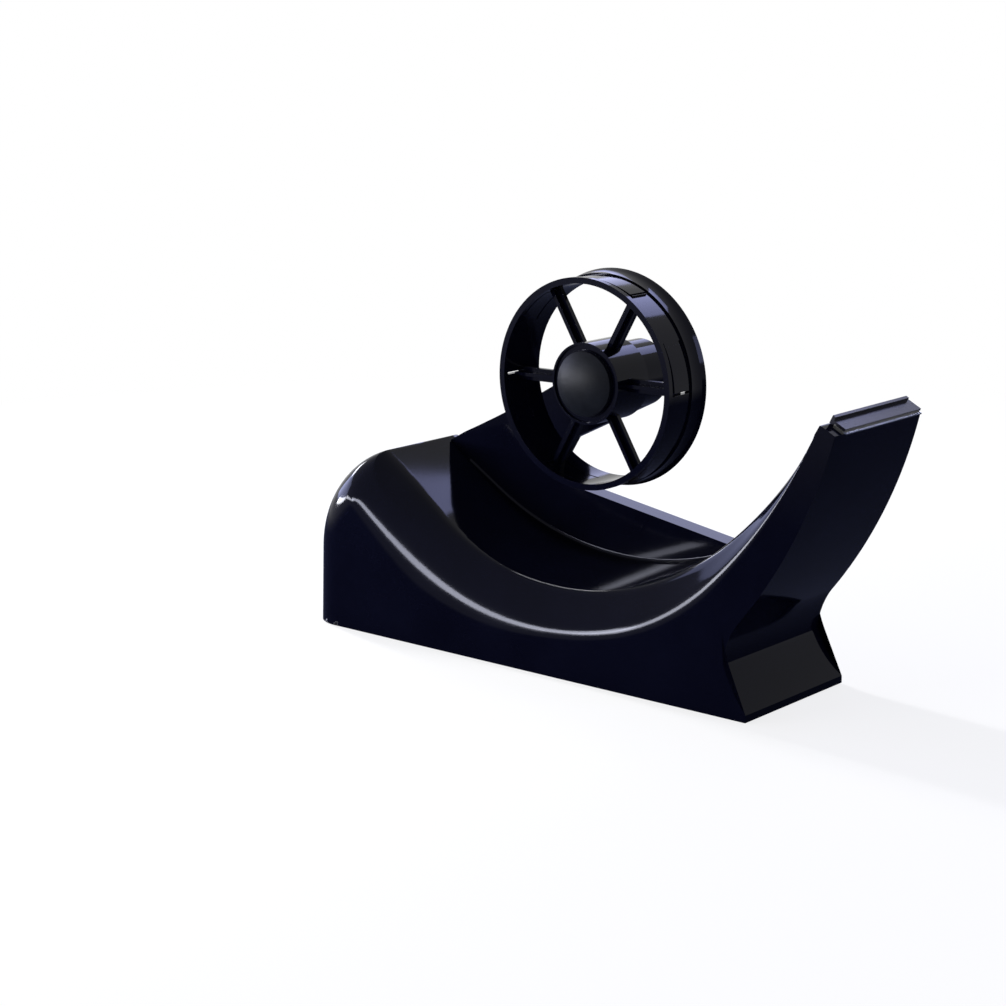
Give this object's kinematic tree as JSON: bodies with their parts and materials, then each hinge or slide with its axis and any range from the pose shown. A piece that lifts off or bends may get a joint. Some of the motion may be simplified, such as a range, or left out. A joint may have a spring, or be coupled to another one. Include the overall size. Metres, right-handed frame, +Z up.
{
  "type": "weighted desk tape dispenser",
  "caption": "Cradle-shaped desk tape dispenser with a wheel for large-core tape on a side arm and a serrated steel blade at its raised nose.",
  "frame": {"origin": "centre of the overall footprint, on the table", "axes": "+X from the rounded tail to the cutting nose, +Y from the open side to the side with the arm, +Z up"},
  "size_m": [0.233, 0.06, 0.1414],
  "materials": {
    "body_shell": "glossy injection moulding, near black",
    "wheel_arm": "glossy injection moulding, near black",
    "arm_screws": "dark zinc plated",
    "base_plate": "plain moulding",
    "base_screws": "zinc plated",
    "non_slip_pad": "matt foam rubber",
    "rear_weight": "as cast",
    "front_weight": "as cast",
    "weight_screws": "zinc plated",
    "wheel_spindle": "ground",
    "spindle_bolt": "dark zinc plated",
    "spindle_bolt_washer": "zinc plated",
    "tape_wheel": "glossy injection moulding, near black",
    "hub_cap": "fine matt grain",
    "front_bush": "plain bearing plastic",
    "rear_bush": "plain bearing plastic",
    "felt_washer": "pressed felt",
    "drag_spring": "spring steel",
    "retaining_washer": "zinc plated",
    "retaining_screw": "zinc plated",
    "blade_holder": "glossy moulding, near black",
    "blade": "bright stamped steel"
  },
  "bodies": {
    "cradle": {"body_shell": "body_shell", "wheel_arm": "wheel_arm", "arm_screws": "arm_screws", "base_plate": "base_plate", "base_screws": "base_screws", "non_slip_pad": "non_slip_pad", "rear_weight": "rear_weight", "front_weight": "front_weight", "weight_screws": "weight_screws", "wheel_spindle": "wheel_spindle", "spindle_bolt": "spindle_bolt", "spindle_bolt_washer": "spindle_bolt_washer", "felt_washer": "felt_washer", "drag_spring": "drag_spring", "retaining_washer": "retaining_washer", "retaining_screw": "retaining_screw", "blade_holder": "blade_holder", "blade": "blade"},
    "wheel": {"tape_wheel": "tape_wheel", "hub_cap": "hub_cap", "front_bush": "front_bush", "rear_bush": "rear_bush"}
  },
  "joints": [
    {"name": "wheel_spin", "type": "hinge", "parent": "cradle", "child": "wheel", "pos_m": [0.0016, 0, 0.1023], "axis": [0, 1, 0], "continuous": true}
  ]
}
